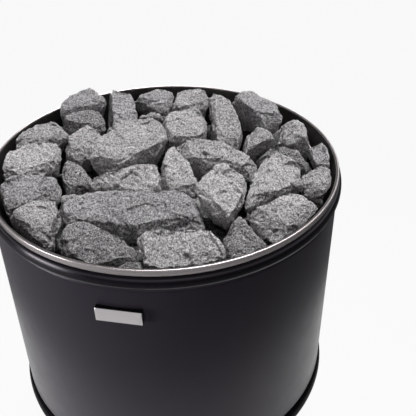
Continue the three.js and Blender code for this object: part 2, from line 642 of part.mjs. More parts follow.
// Trims two neighbours by the plane that parts them best.
function partedStones(first, second) {
  const between = middleOf(second).sub(middleOf(first)).normalize();
  let best = { room: -Infinity };
  for (const normal of [between, ...faceNormals(first), ...faceNormals(second)]) {
    const axis = normal.dot(between) < 0 ? normal.clone().negate() : normal;
    const end = Math.max(...first.map((point) => axis.dot(point)));
    const start = Math.min(...second.map((point) => axis.dot(point)));
    if (start - end > best.room) {
      best = { room: start - end, axis, plane: (start + end) / 2 };
    }
  }
  if (best.room >= STONE_GAP) {
    return [first, second];
  }
  const back = best.axis.clone().negate();
  return [
    clipped(first, best.axis, best.plane - STONE_GAP / 2),
    clipped(second, back, -best.plane - STONE_GAP / 2),
  ];
}

function upperStones() {
  const stones = STONES.map((face) => insideMouth(stoneCorners(face)));
  for (let i = 0; i < stones.length; i += 1) {
    for (let j = i + 1; j < stones.length; j += 1) {
      [stones[i], stones[j]] = partedStones(stones[i], stones[j]);
    }
  }
  return stones;
}

// Layers of lower stones as [count, size, height of the middle].
function lowerLayers() {
  const top = RIM_TOP - BED_DROP;
  const depth = top - GRATE_TOP;
  return [
    [6, LOWER_STONE, GRATE_TOP + 0.12 * depth],
    [6, LOWER_STONE, GRATE_TOP + 0.5 * depth],
    [17, BED_STONE, top - 0.14 * depth],
  ];
}

// Lower stones lie packed as one joined mass, hollowed for the elements and the upper stones.
function makeLowerStones(stones) {
  const random = seededRandom(BED_SEED);
  const golden = Math.PI * (3 - Math.sqrt(5));
  let bed = null;
  for (const [count, size, z] of lowerLayers()) {
    for (let k = 0; k < count; k += 1) {
      const radius = Math.sqrt((k + 0.3) / count) * (CONTAINER_RADIUS - size / 3);
      const middle = new THREE.Vector3(radius * Math.cos(k * golden), radius * Math.sin(k * golden), z);
      const points = Array.from({ length: STONE_CORNERS }, () => {
        const point = new THREE.Vector3(random() - 0.5, random() - 0.5, random() - 0.5);
        return point.setLength(size * (0.9 + 0.2 * random())).add(middle);
      });
      const stone = toSolid(new ConvexGeometry(points));
      bed = bed ? bed.add(stone) : stone;
    }
  }
  const inner = CONTAINER_RADIUS - STONE_WALL_GAP;
  const neck = LIP_TOP - FLARE_HEIGHT;
  const space = [
    [0, GRATE_TOP + CLEARANCE],
    [inner, GRATE_TOP + CLEARANCE],
    [inner, neck],
    [inner + FLARE, LIP_TOP],
    [0, LIP_TOP],
  ];
  bed = bed.intersect(toSolid(spun(space, ROUND_STEPS)));
  const slotLength = 2 * (3 * BEND_RADIUS + 2 * ROD_RADIUS);
  const slotHeight = RIM_TOP - ELEMENT_DROP + 2 * ROD_RADIUS - GRATE_TOP;
  for (const y of rows) {
    bed = bed.subtract(toSolid(block(slotLength, 3 * ROD_RADIUS, slotHeight, 0, y, GRATE_TOP)));
  }
  for (const stone of stones) {
    const middle = middleOf(stone);
    const grown = stone.map((point) => {
      const outward = point.clone().sub(middle).setLength(SEAT_GROWTH);
      return point.clone().add(outward);
    });
    bed = bed.subtract(toSolid(new ConvexGeometry(grown)));
  }
  const pieces = bed.decompose().sort((a, b) => b.volume() - a.volume());
  addPiece("lower_stones", toGeometry(pieces[0]), greyStone);
}

function makeStones() {
  const stones = upperStones();
  stones.forEach((points, k) => {
    addPiece(`stone_${String(k + 1).padStart(2, "0")}`, new ConvexGeometry(points), greyStone);
  });
  makeLowerStones(stones);
}

makeRim();
makeCollar();
makeShell();
makeBaseRing();
makeContainer();
makeShield();
makePlates();
makeElements();
makeLegs();
makeControlBox();
makeSwitches();
makeTerminals();
makeNamePlate();
makeStones();

export default heater;
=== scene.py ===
"""Round electric sauna heater filled with stones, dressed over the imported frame. Metres, +Z up."""

import math
import random

import bmesh
import bpy
from mathutils import Matrix, Vector, noise


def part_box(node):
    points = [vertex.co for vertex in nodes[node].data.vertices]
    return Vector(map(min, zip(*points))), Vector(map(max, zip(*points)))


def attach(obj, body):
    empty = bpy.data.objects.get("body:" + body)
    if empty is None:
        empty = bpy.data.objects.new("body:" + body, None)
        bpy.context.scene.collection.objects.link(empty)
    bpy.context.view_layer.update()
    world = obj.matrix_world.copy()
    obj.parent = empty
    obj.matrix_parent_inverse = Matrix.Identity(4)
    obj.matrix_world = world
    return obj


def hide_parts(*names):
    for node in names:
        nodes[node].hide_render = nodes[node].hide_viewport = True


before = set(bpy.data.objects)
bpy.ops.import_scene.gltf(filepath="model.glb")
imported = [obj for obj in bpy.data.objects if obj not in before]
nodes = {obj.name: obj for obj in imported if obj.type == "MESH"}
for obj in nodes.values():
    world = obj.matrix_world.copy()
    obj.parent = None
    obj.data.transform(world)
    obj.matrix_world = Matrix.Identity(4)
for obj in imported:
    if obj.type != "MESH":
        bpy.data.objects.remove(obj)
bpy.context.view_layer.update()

# Unless it is seeded, this noise changes from run to run
NOISE_SEED = 68
noise.seed_set(NOISE_SEED)

# Drum, as in the part's source
RIM_RADIUS = 0.210
RIM_TOP = 0.440
RIM_WALL = 0.0022
RIM_HEIGHT = 0.0074
RIM_FOOT = 0.0004
SEAM = 0.0003
COLLAR_TOP = RIM_TOP - RIM_HEIGHT - SEAM
COLLAR_HEIGHT = 0.0162
COLLAR_WIDEST = 0.0104
BEAD_REACH = 0.004
BEAD_ROOT = 0.001
SHELL_TOP = COLLAR_TOP - COLLAR_HEIGHT - SEAM
SHELL_WALL = 0.0015
SHOULDER_HEIGHT = 0.0052
SHOULDER_INSET = 0.0034
FLOOR_GAP = 0.112
BASE_HEIGHT = 0.0232
BASE_WIDEST = 0.0126
BASE_WALL = 0.006
BASE_TOP = FLOOR_GAP + BASE_HEIGHT
SHELL_BOTTOM = BASE_TOP + SEAM
LEDGE_WIDTH = 0.016
LEDGE_HEIGHT = 0.008
MOUTH_RADIUS = 0.206
CONTAINER_RADIUS = 0.190
CONTAINER_WALL = 0.0015
CONTAINER_FLANGE = 0.016
CONTAINER_BOTTOM = 0.1236
LIP_DROP = 0.0008
LIP_TOP = RIM_TOP - LIP_DROP
FLARE_HEIGHT = 0.060
DRUM_STEPS = 192
PLATE_WIDTH = 0.049
PLATE_HEIGHT = 0.017
PLATE_DEPTH = 0.0045
PLATE_DROP = 0.059
PLATE_ROUND = 0.0005
PLATE_COLUMNS = 28

# Legs and feet
LEGS = 3
LEG_CIRCLE = 0.160
LEG_RADIUS = 0.015
LEG_TOP = 0.120
LEG_WALL = 0.0025
LEG_SOLE = 0.006
LEG_ROUND = 0.0008
LEG_STEPS = 64
FLANGE_RADIUS = 0.025
FLANGE_HEIGHT = 0.003
PAD_HEIGHT = 0.010
PAD_RADIUS = 0.021
STUD_RADIUS = 0.005
STUD_LENGTH = 0.055
STUD_PLAY = 0.0006
STUD_CHAMFER = 0.001
THREAD_START = 0.012
THREAD_PITCH = 0.0015
THREAD_TURNS = 22
THREAD_DEPTH = 0.0006

# Controls
CONTROL_HEIGHT = 0.072
CONTROL_SPREAD = 0.052
BOX_FRONT = 0.118
BOX_BACK = 0.092
BOX_WIDTH = 0.190
BOX_TOP = 0.120
BOX_HEIGHT = 0.078
BOX_EDGE = 0.0006
KNOB_RADIUS = 0.021
KNOB_DEPTH = 0.017
KNOB_STANDOFF = 0.0015
KNOB_ROUND = 0.0012
KNOB_STEPS = 96
TIMER_SWEEP = 315
TIMER_MARKS = 15
THERMOSTAT_SWEEP = 270
THERMOSTAT_MARKS = 13
GLAND_PLACE = Vector((0.050, BOX_BACK, 0.080))
BEVEL_STEPS = 3

# Stones: size of a broken facet, how deep faces and grit are cut, and how finely each is meshed
STONES = 32
LARGE_FACET = 0.032
SMALL_FACET = 0.012
STONE_VOXEL = 0.0013
STONE_CUT = 0.0056
STONE_GRIT = 0.0009
BED_VOXEL = 0.0036
BED_CUT = 0.002
BED_GRIT = 0.0006
BED_SEED = 77
PEBBLE_VOXEL = 0.0012
PEBBLE_CUT = 0.0014
PEBBLE_GRIT = 0.0004
PEBBLE_SEED = 101
PEBBLE_CORNERS = 14
STONE_SMOOTH = 60

# Camera, fitted to the photograph's rim and drum
CAMERA_PLACE = Vector((0.1756, -0.6553, 0.8411))
CAMERA_LOOK = Vector((-0.15045, 0.80342, -0.57610))
CAMERA_UP = Vector((-0.09142, 0.56893, 0.81729))
CAMERA_LENS = 55.7
CAMERA_SENSOR = 36
CAMERA_NEAR = 0.02

# Studio: share of white and of light in the floor and the backdrop
FLOOR_REACH = 14
FLOOR_MATT = 0.45
FLOOR_WHITE = 0.94
# Painted pool of light on the floor, seen in gloss: full out to this radius, gone by the edge
POOL_RADIUS = 0.37
POOL_EDGE = 0.5
BACKDROP_EDGE = 0.2
BACKDROP_TOP = 0.55
OVERHEAD_SHARE = 0.12
ROOM_LIGHT = 0.06


# Shader helpers

NONE = (0, 0, 0)
FULL = (1, 1, 1)
# Range that holds most values of a noise
MIDDLE = (0.3, 0.7)


def set_inputs(node, values):
    for key, value in values.items():
        node.inputs[key].default_value = value


def calculate(tree, operation, first, second):
    """Math node on two outputs or numbers."""
    node = tree.nodes.new("ShaderNodeMath")
    node.operation = operation
    for socket, value in zip(node.inputs, (first, second)):
        if isinstance(value, (int, float)):
            socket.default_value = value
        else:
            tree.links.new(value, socket)
    return node.outputs["Value"]


def map_range(tree, source, span, low, high):
    """Map Range node from a span of values to a low and a high result."""
    node = tree.nodes.new("ShaderNodeMapRange")
    set_inputs(node, {"From Min": span[0], "From Max": span[1], "To Min": low, "To Max": high})
    tree.links.new(source, node.inputs["Value"])
    return node


class Shader:
    """A node material with short calls for the nodes used here."""

    def __init__(self, name):
        self.material = bpy.data.materials.new(name)
        self.material.use_nodes = True
        self.tree = self.material.node_tree
        self.surface = self.tree.nodes["Principled BSDF"]
        self.place = self.add("ShaderNodeTexCoord").outputs["Object"]

    def add(self, kind, **settings):
        node = self.tree.nodes.new(kind)
        for key, value in settings.items():
            setattr(node, key, value)
        return node

    def link(self, source, target):
        self.tree.links.new(source, target)

    def set(self, **values):
        set_inputs(self.surface, {key.replace("_", " "): value for key, value in values.items()})

    def mapped(self, key, value):
        """Object coordinates with a Scale or a Location of their own."""
        node = self.add("ShaderNodeMapping")
        set_inputs(node, {key: value})
        self.link(self.place, node.inputs["Vector"])
        return node.outputs["Vector"]

    def noise(self, scale, detail=4, rough=0.55, place=None, distortion=0.0):
        node = self.add("ShaderNodeTexNoise")
        set_inputs(node, {"Scale": scale, "Detail": detail, "Roughness": rough, "Distortion": distortion})
        self.link(place or self.place, node.inputs["Vector"])
        return node.outputs["Fac"]

    def cells(self, scale, output="Distance", place=None):
        node = self.add("ShaderNodeTexVoronoi")
        set_inputs(node, {"Scale": scale})
        self.link(place or self.place, node.inputs["Vector"])
        return node.outputs[output]

    def ramp(self, source, first, last):
        """Colour ramp between two stops, each a position and a colour."""
        node = self.add("ShaderNodeValToRGB")
        for element, (position, colour) in zip(node.color_ramp.elements, (first, last)):
            element.position = position
            element.color = (*colour, 1)
        self.link(source, node.inputs["Fac"])
        return node.outputs["Color"]

    def level(self, source, span, low, high):
        return map_range(self.tree, source, span, low, high).outputs["Result"]

    def mix(self, factor, first, second, blend="MIX"):
        node = self.add("ShaderNodeMix", data_type="RGBA", blend_type=blend)
        # The colour sockets come after those for numbers and vectors
        factor_in, first_in, second_in = node.inputs[0], node.inputs[6], node.inputs[7]
        for socket, value in ((factor_in, factor), (first_in, first), (second_in, second)):
            if isinstance(value, (int, float)):
                socket.default_value = value
            elif isinstance(value, tuple):
                socket.default_value = (*value, 1)
            else:
                self.link(value, socket)
        return node.outputs[2]

    def math(self, operation, first, second):
        return calculate(self.tree, operation, first, second)

    def bump(self, height, strength, distance, under=None):
        node = self.add("ShaderNodeBump")
        set_inputs(node, {"Strength": strength, "Distance": distance})
        self.link(height, node.inputs["Height"])
        if under is not None:
            self.link(under, node.inputs["Normal"])
        return node.outputs["Normal"]

    def finish(self, colour, roughness, normal):
        for name, source in (("Base Color", colour), ("Roughness", roughness), ("Normal", normal)):
            self.link(source, self.surface.inputs[name])
        return self.material


# Materials; a scale is in features per metre and a bump distance in metres

COAT_TINT = (0.96, 0.87, 1.0, 1.0)


def black_coat(name, low, high, roughness, grain, gloss=0.16):
    """Baked black paint: a fine orange peel, faint clouding and dust in the grain."""
    shader = Shader(name)
    cloud = shader.noise(scale=9, detail=3)
    speck = shader.noise(scale=420, detail=3, rough=0.6)
    tone = shader.ramp(cloud, (0.3, low), (0.75, high))
    dust = shader.ramp(speck, (0.6, NONE), (0.85, (0.02, 0.02, 0.021)))
    colour = shader.mix(0.4, tone, dust, "ADD")
    sheen = shader.noise(scale=55, detail=4)
    rough = shader.level(sheen, MIDDLE, roughness - 0.02, roughness + 0.03)
    ripple = shader.noise(scale=grain, detail=2, rough=0.5)
    peel = shader.bump(ripple, strength=0.03, distance=0.0002)
    shader.set(Specular_IOR_Level=gloss, Specular_Tint=COAT_TINT)
    return shader.finish(colour, rough, peel)


def brushed_metal(name, low, high, roughness, streaks, wear=0.35, metallic=1.0):
    """Metal brushed along the round or the length: fine streaks in colour, gloss and height."""
    shader = Shader(name)
    lines = shader.noise(scale=1, detail=6, rough=0.7, place=shader.mapped("Scale", streaks))
    patch = shader.noise(scale=14, detail=3)
    tone = shader.ramp(lines, (0.25, low), (0.75, high))
    shade = shader.ramp(patch, (0.3, (0.82, 0.82, 0.82)), (0.7, FULL))
    colour = shader.mix(wear, tone, shade, "MULTIPLY")
    rough = shader.level(lines, MIDDLE, roughness - 0.06, roughness + 0.08)
    scratch = shader.bump(lines, strength=0.12, distance=0.0002)
    shader.set(Metallic=metallic)
    return shader.finish(colour, rough, scratch)


def dull_steel(name, low, high, roughness, metallic=0.85):
    """Hot-rolled or heat-stained sheet: cloudy oxide with pale rubbed specks."""
    shader = Shader(name)
    cloud = shader.noise(scale=22, detail=6, rough=0.65, distortion=0.6)
    speck = shader.noise(scale=260, detail=3)
    tone = shader.ramp(cloud, (0.28, low), (0.72, high))
    rub = shader.ramp(speck, (0.62, NONE), (0.8, (0.12, 0.11, 0.1)))
    colour = shader.mix(0.6, tone, rub, "ADD")
    rough = shader.level(cloud, MIDDLE, roughness + 0.1, roughness - 0.08)
    skin = shader.bump(speck, strength=0.2, distance=0.0004)
    shader.set(Metallic=metallic)
    return shader.finish(colour, rough, skin)


def zinc_plate(name):
    """Zinc coating with its large flat crystals."""
    shader = Shader(name)
    crystal = shader.cells(90, "Color")
    fine = shader.noise(scale=340, detail=3)
    tone = shader.ramp(crystal, (0.1, (0.36, 0.365, 0.375)), (0.9, (0.6, 0.605, 0.615)))
    shade = shader.ramp(fine, (0.3, (0.86, 0.86, 0.86)), (0.7, FULL))
    colour = shader.mix(0.7, tone, shade, "MULTIPLY")
    rough = shader.level(crystal, (0, 1), 0.3, 0.5)
    skin = shader.bump(fine, strength=0.12, distance=0.0003)
    shader.set(Metallic=0.9)
    return shader.finish(colour, rough, skin)


def moulded_plastic(name, low, high, roughness):
    """Moulded plastic with a spark-eroded texture."""
    shader = Shader(name)
    tone = shader.ramp(shader.noise(scale=28, detail=4), (0.3, low), (0.7, high))
    sheen = shader.noise(scale=120, detail=3)
    rough = shader.level(sheen, MIDDLE, roughness - 0.06, roughness + 0.08)
    pits = shader.bump(shader.cells(1500), strength=0.18, distance=0.0003)
    return shader.finish(tone, rough, pits)


def pale_ceramic(name):
    """Unglazed pale ceramic with fine pores."""
    shader = Shader(name)
    cloud = shader.noise(scale=60, detail=5)
    tone = shader.ramp(cloud, (0.3, (0.62, 0.59, 0.52)), (0.7, (0.74, 0.72, 0.66)))
    pores = shader.ramp(shader.cells(900), (0.0, (0.55, 0.53, 0.5)), (0.18, FULL))
    colour = shader.mix(0.6, tone, pores, "MULTIPLY")
    rough = shader.level(shader.noise(scale=200, detail=3), MIDDLE, 0.55, 0.75)
    skin = shader.bump(shader.noise(scale=700, detail=3), strength=0.2, distance=0.0003)
    return shader.finish(colour, rough, skin)


WHITE_CRYSTAL = (0.88, 0.87, 0.865)
BLACK_CRYSTAL = (0.035, 0.035, 0.038)
BRUISE_AND_HIGHLIGHT_ROCK = (0.8, 0.795, 0.79)


def split_stone(name, dark, pale, shift):
    """Split grey rock: dark and pale crystals, white flecks, pale edges that are partly bruised rock and
    partly painted highlight, and a gritty face.
    """
    shader = Shader(name)
    place = shader.mapped("Location", shift)
    crystal = shader.cells(1000, "Color", place)
    fleck = shader.noise(1080, 4, 0.7, place)
    crystal_part = shader.math("MULTIPLY", crystal, 0.55)
    fleck_part = shader.math("MULTIPLY", fleck, 0.45)
    grain = shader.math("ADD", crystal_part, fleck_part)
    colour = shader.mix(shader.level(grain, (0.4, 0.62), 0.0, 1.0), dark, pale)
    cloud = shader.noise(26, 5, 0.6, place, 0.3)
    shade = shader.ramp(cloud, (0.3, (0.62, 0.62, 0.63)), (0.68, FULL))
    colour = shader.mix(0.8, colour, shade, "MULTIPLY")
    white = shader.level(shader.noise(900, 3, 0.6, place), (0.575, 0.62), 0.0, 1.0)
    colour = shader.mix(white, colour, WHITE_CRYSTAL)
    black = shader.level(shader.noise(950, 3, 0.6, place), (0.42, 0.32), 0.0, 0.7)
    colour = shader.mix(black, colour, BLACK_CRYSTAL)
    # Pale colour on pointed edges: partly bruised rock, partly a painted highlight where edges catch the
    # light
    edge = shader.add("ShaderNodeNewGeometry").outputs["Pointiness"]
    bruise_and_highlight = shader.level(edge, (0.512, 0.565), 0.0, 1.0)
    broken = shader.level(shader.noise(110, 4, 0.6, place), (0.38, 0.62), 0.15, 0.95)
    colour = shader.mix(shader.math("MULTIPLY", bruise_and_highlight, broken), colour, BRUISE_AND_HIGHLIGHT_ROCK)
    rough = shader.level(fleck, MIDDLE, 0.95, 0.72)
    coarse = shader.bump(shader.noise(150, 7, 0.74, place), strength=0.9, distance=0.003)
    fine = shader.bump(grain, strength=0.5, distance=0.0009, under=coarse)
    shader.set(Specular_IOR_Level=0.35)
    return shader.finish(colour, rough, fine)


BLACK = black_coat(
    "black_coat", (0.033, 0.0278, 0.039), (0.0384, 0.033, 0.0446), roughness=0.305, grain=1500, gloss=0.18
)
# Painted shade: the collar bead gets a darker copy of the wall's black coat, for the shaded gap and bead
# under the rim
BEAD_SHADED_BLACK = black_coat(
    "bead_coat_shaded", (0.0065, 0.0054, 0.0082), (0.0098, 0.0083, 0.012), roughness=0.24, grain=520, gloss=0.26
)
# Painted shade: the base ring gets a near-black copy of the wall's coat with hardly any gloss, so it
# reads as shaded
BASE_SHADED_BLACK = black_coat(
    "base_coat_shaded", (0.004, 0.0035, 0.0046), (0.0062, 0.0056, 0.007), roughness=0.36, grain=700, gloss=0.012
)
BOX_BLACK = black_coat(
    "box_coat", (0.011, 0.011, 0.012), (0.017, 0.0165, 0.018), roughness=0.45, grain=480
)
PLATE_SIDE = black_coat(
    "plate_edge", (0.014, 0.013, 0.014), (0.022, 0.021, 0.022), roughness=0.4, grain=900
)
RIM_STEEL = brushed_metal(
    "rim_steel", (0.43, 0.385, 0.394), (0.79, 0.725, 0.735), roughness=0.26, streaks=(6, 6, 2600)
)
PLATE_STEEL = brushed_metal(
    "plate_steel",
    (0.86, 0.81, 0.83),
    (0.97, 0.93, 0.945),
    roughness=0.36,
    streaks=(25, 25, 2600),
    wear=0.15,
    metallic=0.55,
)
HOT_STEEL = dull_steel("dark_steel", (0.03, 0.028, 0.027), (0.085, 0.08, 0.076), roughness=0.45)
ELEMENT = dull_steel(
    "element_alloy", (0.06, 0.05, 0.045), (0.16, 0.14, 0.125), roughness=0.5, metallic=0.8
)
ZINC = zinc_plate("zinc_steel")
PLASTIC = moulded_plastic("black_plastic", (0.012, 0.012, 0.0125), (0.021, 0.021, 0.022), roughness=0.42)
MARK_WHITE = moulded_plastic("mark_white", (0.62, 0.62, 0.6), (0.75, 0.75, 0.73), roughness=0.5)
CERAMIC = pale_ceramic("ceramic")
ROCKS = [
    split_stone("rock_grey", (0.125, 0.12, 0.122), (0.75, 0.72, 0.73), (0, 0, 0)),
    split_stone("rock_pale", (0.18, 0.172, 0.175), (0.95, 0.915, 0.925), (3, 1, 2)),
    split_stone("rock_blue", (0.1, 0.097, 0.102), (0.62, 0.6, 0.617), (1, 5, 4)),
    split_stone("rock_dark", (0.06, 0.058, 0.06), (0.44, 0.425, 0.433), (7, 2, 1)),
]
# Painted shade: a near-black copy of the rock for the bed under the stones, which shows dark in the gaps
# between them
SHADED_BED_ROCK = split_stone("rock_bed_shaded", (0.02, 0.02, 0.021), (0.1, 0.099, 0.099), (2, 8, 3))


# Mesh helpers

ORIGIN = Vector()
UPRIGHT = Matrix.Identity(3)
TO_FRONT = Matrix(((1, 0, 0), (0, 0, -1), (0, 1, 0)))
TO_BACK = Matrix(((1, 0, 0), (0, 0, 1), (0, -1, 0)))
ON_AXIS = 1e-7


def add_object(name, mesh, body, materials):
    piece = bpy.data.objects.new(name, mesh)
    bpy.context.scene.collection.objects.link(piece)
    for material in materials:
        mesh.materials.append(material)
    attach(piece, body)
    return piece


def mesh_from(bm, name, smooth_angle=35):
    bmesh.ops.recalc_face_normals(bm, faces=bm.faces)
    limit = math.radians(smooth_angle)
    for edge in bm.edges:
        edge.smooth = len(edge.link_faces) == 2 and edge.calc_face_angle(0) < limit
    for face in bm.faces:
        face.smooth = True
    mesh = bpy.data.meshes.new(name)
    bm.to_mesh(mesh)
    bm.free()
    return mesh


def lathe(bm, profile, steps, origin=ORIGIN, turn=UPRIGHT, material=0):
    """Spins a closed profile of (radius, height); a point on the axis closes to a pole."""
    rings = []
    for radius, height in profile:
        if radius < ON_AXIS:
            rings.append([bm.verts.new(origin + turn @ Vector((0, 0, height)))] * steps)
            continue
        ring = []
        for k in range(steps):
            angle = 2 * math.pi * k / steps
            spot = Vector((radius * math.cos(angle), radius * math.sin(angle), height))
            ring.append(bm.verts.new(origin + turn @ spot))
        rings.append(ring)
    for low, high in zip(rings, rings[1:] + rings[:1]):
        for k in range(steps):
            corners = []
            for vert in (low[k], low[(k + 1) % steps], high[(k + 1) % steps], high[k]):
                if vert not in corners:
                    corners.append(vert)
            if len(corners) > 2:
                face = bm.faces.new(corners)
                face.material_index = material


def arc(radius, height, across, up, start, end, steps):
    """Part of an ellipse round (radius, height), from a start to an end angle in degrees."""
    points = []
    for k in range(steps + 1):
        angle = math.radians(start + (end - start) * k / steps)
        points.append((radius + across * math.cos(angle), height + up * math.sin(angle)))
    return points


def spun_piece(
    name, node, body, material, profile, steps=DRUM_STEPS, origin=ORIGIN, turn=UPRIGHT
):
    bm = bmesh.new()
    lathe(bm, profile, steps, origin, turn)
    piece = add_object(name, mesh_from(bm, name), body, [material])
    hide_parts(node)


def rounded_bar(bm, middle, size, edge, material=0):
    """Bar with its edges rounded off."""
    made = bmesh.ops.create_cube(bm, size=1)["verts"]
    for vert in made:
        vert.co = Vector([m + c * s for m, c, s in zip(middle, vert.co, size)])
    # A dict keeps the order in which edges come up, where a set would not
    edges = list(dict.fromkeys(e for vert in made for e in vert.link_edges))
    for vert in made:
        for face in vert.link_faces:
            face.material_index = material
    bmesh.ops.bevel(
        bm,
        geom=edges,
        offset=edge,
        segments=BEVEL_STEPS,
        affect="EDGES",
        clamp_overlap=True,
        material=material,
    )


def flute(verts, middle, limit, count, depth):
    """Presses flutes into what lies further than a limit from an axis along Y."""
    for vert in verts:
        away = vert.co - middle
        spread = Vector((away.x, 0, away.z))
        if spread.length > limit:
            dip = depth * (math.cos(count * math.atan2(away.z, away.x)) - 1)
            vert.co += spread.normalized() * dip


def joined_copy(node):
    """CAD solid as one joined mesh of its own."""
    bm = bmesh.new()
    bm.from_mesh(nodes[node].data)
    bmesh.ops.remove_doubles(bm, verts=bm.verts, dist=1e-6)
    mesh = bpy.data.meshes.new(node + "_plain")
    bm.to_mesh(mesh)
    bm.free()
    return mesh


# Drum


def bead(inner, top, height, widest):
    """Profile of a rolled bead, furthest out at a depth of widest below its top."""
    edge = RIM_RADIUS - BEAD_ROOT
    reach = BEAD_REACH + BEAD_ROOT
    middle = top - widest
    lower = arc(edge, middle, reach, height - widest, -90, 0, 10)
    upper = arc(edge, middle, reach, widest, 0, 90, 14)
    return [(inner, top - height), *lower, *upper[1:], (inner, top)]


def make_rim():
    edge = RIM_WALL / 2
    bottom = RIM_TOP - RIM_HEIGHT
    rim = [
        (RIM_RADIUS - RIM_WALL, bottom),
        *arc(RIM_RADIUS - RIM_FOOT, bottom + RIM_FOOT, RIM_FOOT, RIM_FOOT, -90, 0, 4),
        *arc(RIM_RADIUS - edge, RIM_TOP - edge, edge, edge, 0, 180, 14),
    ]
    spun_piece("rim_ring", "rim_band", "heater", RIM_STEEL, rim)
    collar = bead(MOUTH_RADIUS + SEAM, COLLAR_TOP, COLLAR_HEIGHT, COLLAR_WIDEST)
    spun_piece("collar_bead", "top_collar", "heater", BEAD_SHADED_BLACK, collar)


def make_shell():
    inset = RIM_RADIUS - SHOULDER_INSET
    under = inset - SHELL_WALL
    inner = RIM_RADIUS - SHELL_WALL
    high = SHELL_TOP - SHOULDER_HEIGHT
    low = SHELL_BOTTOM + SHOULDER_HEIGHT
    shell = [
        *arc(inset, low, SHOULDER_INSET, SHOULDER_HEIGHT, -90, 0, 10),
        *arc(inset, high, SHOULDER_INSET, SHOULDER_HEIGHT, 0, 90, 10),
        (under, SHELL_TOP),
        (under, SHELL_TOP - SHELL_WALL),
        (inner, high),
        (inner, low),
        (under, SHELL_BOTTOM + SHELL_WALL),
        (under, SHELL_BOTTOM),
    ]
    spun_piece("shell_wall", "outer_shell", "heater", BLACK, shell)
    base_inner = RIM_RADIUS - BASE_WALL
    ledge = base_inner - LEDGE_WIDTH
    base = [
        (ledge, FLOOR_GAP),
        *bead(base_inner, BASE_TOP, BASE_HEIGHT, BASE_WIDEST)[1:],
        (base_inner, FLOOR_GAP + LEDGE_HEIGHT),
        (ledge, FLOOR_GAP + LEDGE_HEIGHT),
    ]
    spun_piece("base_bead", "base_ring", "heater", BASE_SHADED_BLACK, base)


def make_container():
    neck = LIP_TOP - FLARE_HEIGHT
    outer = CONTAINER_RADIUS + CONTAINER_WALL
    flange = CONTAINER_RADIUS - CONTAINER_FLANGE
    container = [
        (flange, CONTAINER_BOTTOM),
        (outer, CONTAINER_BOTTOM),
        (outer, neck),
        (MOUTH_RADIUS + CONTAINER_WALL, LIP_TOP),
        (MOUTH_RADIUS, LIP_TOP),
        (CONTAINER_RADIUS, neck),
        (CONTAINER_RADIUS, CONTAINER_BOTTOM + CONTAINER_WALL),
        (flange, CONTAINER_BOTTOM + CONTAINER_WALL),
    ]
    spun_piece("container_wall", "stone_container", "heater", HOT_STEEL, container)


def make_plate():
    """Plate with a flat brushed face, rounded edges, dark sides and a back that follows the drum."""
    bm = bmesh.new()
    half_width = PLATE_WIDTH / 2
    half_height = PLATE_HEIGHT / 2
    flat_width = half_width - PLATE_ROUND
    flat_height = half_height - PLATE_ROUND
    middle = RIM_TOP - PLATE_DROP
    back_radius = RIM_RADIUS + SEAM
    front = -(back_radius + PLATE_DEPTH)
    last = PLATE_COLUMNS
    rows = [(-half_height, PLATE_ROUND), (-flat_height, 0), (flat_height, 0), (half_height, PLATE_ROUND)]
    fronts = []
    backs = []
    for k in range(last + 1):
        x = flat_width * (2 * (k - 1) / (last - 2) - 1)
        x = max(-half_width, min(half_width, x))
        end = PLATE_ROUND if k in (0, last) else 0
        fronts.append([bm.verts.new((x, front + max(drop, end), middle + z)) for z, drop in rows])
        depth = -math.sqrt(back_radius**2 - x * x)
        backs.append([bm.verts.new((x, depth, middle + z)) for z in (-half_height, half_height)])
    for k in range(last):
        near, far = fronts[k], fronts[k + 1]
        near_back, far_back = backs[k], backs[k + 1]
        for n in range(3):
            bm.faces.new((near[n], far[n], far[n + 1], near[n + 1]))
        sides = (
            (near[0], far[0], far_back[0], near_back[0]),
            (near[3], far[3], far_back[1], near_back[1]),
            (near_back[0], far_back[0], far_back[1], near_back[1]),
        )
        for corners in sides:
            bm.faces.new(corners).material_index = 1
    for k in (0, last):
        bm.faces.new((*fronts[k], backs[k][1], backs[k][0])).material_index = 1
    mesh = mesh_from(bm, "plate")
    plate = add_object("plate", mesh, "heater", [PLATE_STEEL, PLATE_SIDE])
    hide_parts("name_plate")


# Stones


def cell_tilt(spot, size, seed):
    """Height of a flat chip at a point: each cell of broken rock is a plane leaning its own way."""
    lean_step = 7.31
    place = spot / size + seed
    _, points = noise.voronoi(place)
    centre = points[0]
    lean = noise.noise_vector(centre * lean_step + seed)
    return lean.dot(place - centre)


def cut_off(bm, spot, normal):
    """Splits away what lies outside a plane and closes the cut with a flat face."""
    everything = bm.verts[:] + bm.edges[:] + bm.faces[:]
    bmesh.ops.bisect_plane(bm, geom=everything, plane_co=spot, plane_no=normal, clear_outer=True)
    open_edges = [edge for edge in bm.edges if edge.is_boundary]
    if open_edges:
        bmesh.ops.holes_fill(bm, edges=open_edges, sides=0)


def chip_stone(mesh, seed, corner_depth, edge_depth):
    """Knocks flat chips off the corners and edges of a plain stone, each only as deep as it says."""
    flat = math.radians(2)
    sharp = 0.4
    corner_chance = 0.7
    edge_chance = 0.35
    most_lean = 0.35
    least_share = 0.25
    rng = random.Random(seed)
    bm = bmesh.new()
    bm.from_mesh(mesh)
    bmesh.ops.dissolve_limit(bm, angle_limit=flat, verts=bm.verts, edges=bm.edges)
    bm.normal_update()
    cuts = []
    for vert in bm.verts:
        if rng.random() < corner_chance:
            cuts.append((vert.normal.copy(), corner_depth))
    for edge in bm.edges:
        folded = len(edge.link_faces) == 2 and edge.calc_face_angle(0) > sharp
        if folded and rng.random() < edge_chance:
            cuts.append((sum((face.normal for face in edge.link_faces), Vector()), edge_depth))
    for normal, depth in cuts:
        lean = Vector([rng.uniform(-most_lean, most_lean) for _ in range(3)])
        outward = (normal.normalized() + lean).normalized()
        reach = max(outward.dot(vert.co) for vert in bm.verts)
        cut_off(bm, outward * (reach - depth * rng.uniform(least_share, 1)), outward)
    bmesh.ops.triangulate(bm, faces=bm.faces)
    bm.to_mesh(mesh)
    bm.free()


